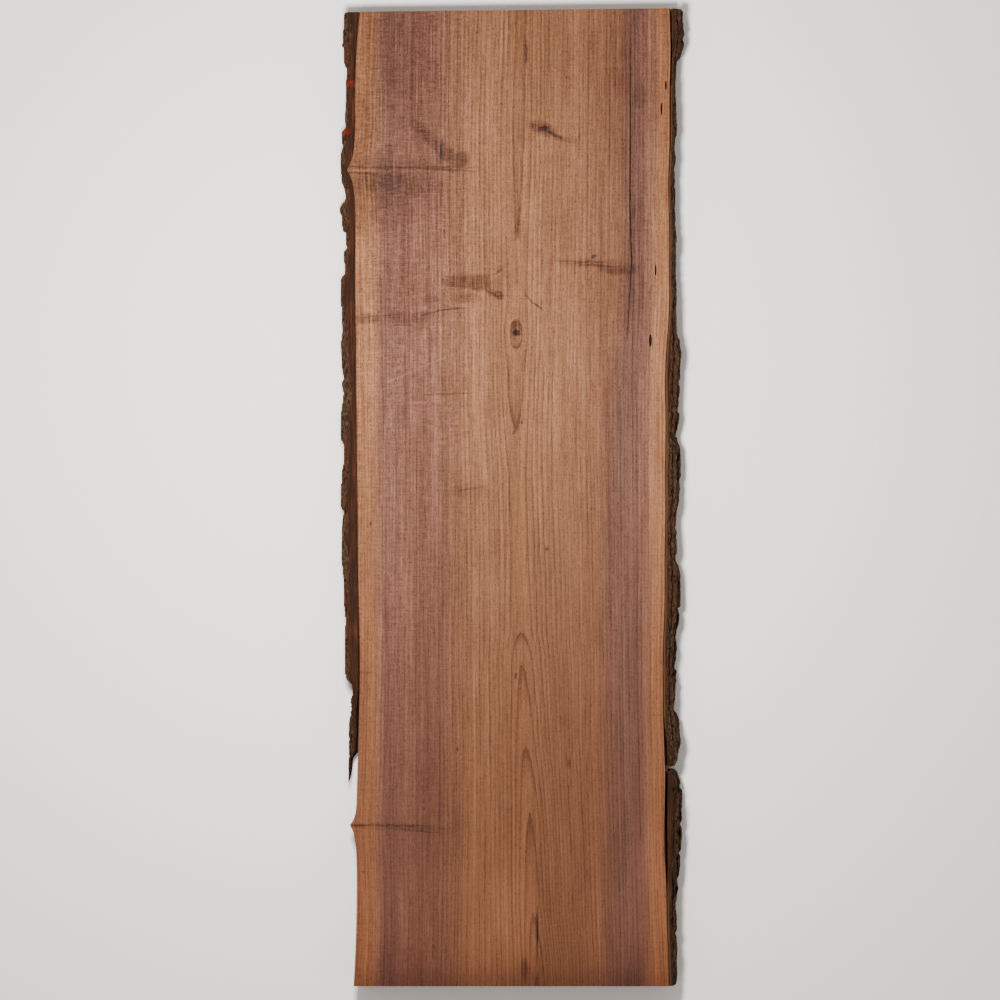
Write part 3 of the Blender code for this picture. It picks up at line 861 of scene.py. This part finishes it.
def rough_bark(g, x, y, z, carved, outer):
    """The bark's outer side: grey-brown, with painted shade in its grooves and pits, and pale flecks at the
    rim.
    """
    grit = g.noise(g.combine(g.times(x, 0.55), g.times(y, 0.26), g.times(z, 0.55)), 4, 0.75)
    dust = g.noise(g.combine(g.times(x, 0.06), g.times(y, 0.02), g.times(z, 0.06)), 3, 0.6)
    flecks = g.noise(g.combine(g.times(x, 1.0), g.times(y, 0.6), g.times(z, 1.0)), 2, 0.6)
    pits = g.noise(g.combine(g.times(x, 0.42), g.times(y, 0.14), g.times(z, 0.42)), 3, 0.6)
    tone = g.ramp(
        grit,
        [(0.36, colour(24, 15, 9)), (0.5, colour(54, 36, 23)), (0.66, colour(84, 62, 43))],
    )
    tone = g.mix(g.smooth(dust, 0.40, 0.60, 0, 0.6), tone, colour(62, 34, 20))
    # painted shade: the deeper a groove is carved, the darker it is painted, and the pits are painted black
    # too
    tone = g.mix(g.smooth(carved, 0.5, 3.2, 0, 0.85), tone, BARK_HOLLOW_SHADE)
    tone = g.mix(g.smooth(pits, 0.55, 0.62, 0, 0.9), tone, BARK_HOLLOW_SHADE)
    pale = g.times(g.smooth(flecks, 0.68, 0.76, 0, 0.6), g.smooth(outer, 0.6, 0.95))
    return g.mix(pale, tone, colour(130, 108, 84)), g.math("SUBTRACT", grit, g.times(pits, 0.8))


def bark_material():
    """Sawn at the slab's faces and rough outside, with two dabs of red paint, worn down its side."""
    g = Graph("walnut_bark")
    place = g.node("ShaderNodeTexCoord").outputs["Object"]
    x, y, z = g.split(g.vector("MULTIPLY", place, (1000, 1000, 1000)))
    inner, outer, carved = (g.attribute(name) for name in ("inner", "outer", "carved"))
    normal = g.split(g.node("ShaderNodeNewGeometry").outputs["Normal"])
    level = g.smooth(g.math("ABSOLUTE", normal[2]), 0.7, 0.9)
    ragged = sized_noise(g, g.combine(x, y, z), (5, 22, 5), 3, 0.65)
    slow = sized_noise(g, g.combine(x, y, z), (60, 90, 60), 1)
    lower_right = g.times(g.smooth(x, -50, 50), g.smooth(y, -320, -350))
    rim = g.add(outer, weighted(g, [(ragged, 0.9), (slow, 1.2), (lower_right, -0.5)]))
    sawn = g.times(level, g.times(g.smooth(rim, 0.68, 0.60), g.smooth(carved, 1.2, 0.4)))

    rough, height = rough_bark(g, x, y, z, carved, outer)
    result = g.mix(sawn, rough, sawn_bark(g, x, y, z, inner))
    smear = sized_noise(g, g.combine(x, y, z), (3, 4, 3), 3, 0.7)
    flat = g.combine(g.math("MULTIPLY_ADD", smear, 7.0, x), g.math("SUBTRACT", y, BOTTOM_END / MM), 1.0)
    worn = g.times(g.smooth(smear, -0.12, 0.04, 0.95, 0.15), g.smooth(z, 14, 34))
    for spot in PAINT:
        result = g.mix(g.times(soft_spot(g, flat, *spot), worn), result, PAINT_RED)

    g.feed(g.shader.inputs["Base Color"], result)
    g.shader.inputs["Roughness"].default_value = 0.9
    g.shader.inputs["Specular IOR Level"].default_value = 0.1
    g.feed(g.shader.inputs["Normal"], g.bump(height, 0.0008, 0.8))
    return g.material


def weld(mesh):
    work = bmesh.new()
    work.from_mesh(mesh)
    bmesh.ops.remove_doubles(work, verts=work.verts, dist=1e-5)
    bmesh.ops.recalc_face_normals(work, faces=work.faces)
    work.to_mesh(mesh)
    work.free()


# The strips of bark: (piece, node, side, seed, millimetres below the upper face that stay as sawn,
# depth of the grooves in millimetres, share of the width where the rough rim begins)
BARK_STRIPS = (
    ("bark_strip_left", "bark_left", -1, 3, 5.0, 4.2, 0.62),
    ("bark_strip_right_upper", "bark_right_upper", 1, 7, 4.0, 2.8, 0.62),
    ("bark_strip_right_lower", "bark_right_lower", 1, 11, 4.0, 2.8, 0.92),
)
BARK_VOXEL = 0.00125
PLATE_LENGTH, PLATE_HEIGHT = 34.0, 10.0      # of one plate of bark, in millimetres
GROOVE_WIDTH = 0.17                          # of the gaps between plates, as a share of a plate
WOOD_CLEAR, CARVED_FROM = 3.0, 7.0           # millimetres off the wood: none is carved, all is carved
FLAKE_DEPTH = 0.6
RIM_WIDTH = 0.12                             # share of a strip's width over which its rim sinks
UPPER_LAYER = 0.003                          # metres below the upper face where widths are taken
TIP_AT = -0.2025                             # the line that the left strip narrows to
TIP_PLACES, TIP_WIDTHS = (250, 262, 278, 286, 310), (0.12, 0.4, 0.48, 0.85, 1.0)


def bark_relief(y, z, seed):
    """The grooves between the plates of bark, from 0 to 1 at their bottom, for arrays of places."""
    rng = np.random.default_rng(seed)
    rows = np.arange(-6, THICKNESS / MM + 12, PLATE_HEIGHT)
    centres = []
    for k, row in enumerate(rows):
        starts = np.arange(y.min() - PLATE_LENGTH, y.max() + PLATE_LENGTH, PLATE_LENGTH)
        starts = starts + (k % 2) * PLATE_LENGTH / 2 + rng.uniform(-0.35, 0.35, len(starts)) * PLATE_LENGTH
        centres.append(np.stack([starts, row + rng.uniform(-0.4, 0.4, len(starts)) * PLATE_HEIGHT], axis=1))
    centres = np.concatenate(centres)
    stretched = centres / (PLATE_LENGTH, PLATE_HEIGHT)
    bend = soft_noise(y / 30, z / 14, np.full_like(y, seed))
    bend_2 = soft_noise(y / 11, z / 6, np.full_like(y, seed + 5))
    here = np.stack([y / PLATE_LENGTH, (z + 4.0 * bend + 1.5 * bend_2) / PLATE_HEIGHT], axis=1)
    deep = np.empty(len(here))
    for start in range(0, len(here), 4000):
        gaps = np.linalg.norm(here[start:start + 4000, None] - stretched[None], axis=2)
        nearest = np.partition(gaps, 1, axis=1)[:, :2]
        deep[start:start + 4000] = nearest[:, 1] - nearest[:, 0]
    return np.exp(-(deep / GROOVE_WIDTH) ** 2)


def strip_width(y, inner, at, step=0.004):
    """How wide the strip is at the upper face, for an array of places along it."""
    starts = np.arange(y.min(), y.max(), step)
    here = np.digitize(y, starts) - 1
    widest = np.zeros(len(starts))
    np.maximum.at(widest, here, inner)
    known = widest > 0
    return np.interp(at, starts[known] + step / 2, widest[known])


def sharpen_tip(points):
    """Draws the lower end of the left strip out to a point."""
    along = (points[:, 1] - BOTTOM_END) / MM
    share = np.interp(along, TIP_PLACES, TIP_WIDTHS)
    near = along < TIP_PLACES[-1]
    points[near, 0] = TIP_AT + (points[near, 0] - TIP_AT) * share[near]


def fine_copy(name, node):
    """A copy of a solid with an even mesh that is fine enough to carve."""
    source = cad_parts[node].data.copy()
    weld(source)
    piece = add_piece(name, source)
    remesh = piece.modifiers.new("fine", "REMESH")
    remesh.mode = "VOXEL"
    remesh.voxel_size = BARK_VOXEL
    apply_modifiers(piece)
    return piece


def weather(mesh, side, seed, sawn_clear, relief, rim_from):
    """Grooves and flakes the outer side of a strip of bark, and sinks the rim of its upper face."""
    points, normals = vertex_rows(mesh, "co"), vertex_rows(mesh, "normal")
    x, y, z = points.T
    sections = LEFT_SECTIONS if side < 0 else RIGHT_SECTIONS
    inner = side * (x - edge_x(sections, y, z / THICKNESS)) / MM
    upper = z > THICKNESS - UPPER_LAYER
    outer = inner / strip_width(y[upper], inner[upper], y)

    outward = np.clip(side * normals[:, 0], 0, 1)
    thick = np.clip((inner - WOOD_CLEAR) / (CARVED_FROM - WOOD_CLEAR), 0, 1)
    near_face = np.clip((THICKNESS - z) / MM / sawn_clear, 0, 1)
    facing = np.clip(outward * 1.6, 0, 1) * thick * near_face
    carved = relief * bark_relief(y / MM, z / MM, seed) * facing
    flakes = soft_noise(x / MM / 2.6, y / MM / 6.0, z / MM / 2.6)
    flakes += 0.5 * soft_noise(x / MM / 1.2, y / MM / 2.8, z / MM / 1.2)
    depth = carved + FLAKE_DEPTH * flakes * np.clip(facing, 0.05, 1)
    points -= normals * (depth * MM)[:, None]

    lumps = soft_noise(x / MM / 5, y / MM / 16, np.full_like(x, seed))
    rim = np.clip((outer - rim_from + 0.25 * lumps) / RIM_WIDTH, 0, 1) * np.clip(normals[:, 2], 0, 1)
    points[:, 2] -= rim * (1.2 + 1.0 * lumps + 0.8 * flakes).clip(0.2, 3.5) * MM
    points[:, 2] = np.clip(points[:, 2], 0.0, THICKNESS)
    if side < 0:
        sharpen_tip(points)
    mesh.vertices.foreach_set("co", points.ravel())
    keep_on_vertices(mesh, carved=carved, inner=inner, outer=outer)


def build_bark(material, name, node, *weathering):
    """One strip of bark, in the place of its solid."""
    piece = fine_copy(name, node)
    weather(piece.data, *weathering)
    piece.data.shade_smooth()
    piece.data.materials.clear()
    piece.data.materials.append(material)
    piece.data.update()
    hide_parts(node)
    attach(piece, "root")


def studio():
    """A plain pale floor, a soft lamp above the upper half of the slab, and the camera."""
    bpy.ops.mesh.primitive_plane_add(size=FLOOR_SIZE, location=(0, 0, -FLOOR_DROP))
    floor = bpy.context.object
    floor.name = "floor"
    g = Graph("floor")
    g.shader.inputs["Base Color"].default_value = FLOOR_COLOUR
    g.shader.inputs["Roughness"].default_value = 0.9
    floor.data.materials.append(g.material)

    world = bpy.data.worlds.new("studio")
    world.use_nodes = True
    background = world.node_tree.nodes["Background"]
    background.inputs["Color"].default_value = SKY_COLOUR
    background.inputs["Strength"].default_value = SKY_LIGHT
    bpy.context.scene.world = world

    lamp = bpy.data.lights.new("softbox", "AREA")
    lamp.shape = "DISK"
    lamp.size = LAMP_SIZE
    lamp.energy = LAMP_POWER
    holder = bpy.data.objects.new("softbox", lamp)
    holder.location = LAMP_PLACE
    holder.visible_camera = False
    bpy.context.scene.collection.objects.link(holder)

    view = bpy.data.cameras.new("camera")
    view.sensor_width = SENSOR
    view.lens = SENSOR * CAMERA_HEIGHT / VIEW_WIDTH
    camera = bpy.data.objects.new("camera", view)
    camera.location = (*VIEW_CENTRE, THICKNESS + CAMERA_HEIGHT)
    bpy.context.scene.collection.objects.link(camera)
    bpy.context.scene.camera = camera


build_wood()
bark = bark_material()
for strip in BARK_STRIPS:
    build_bark(bark, *strip)
studio()
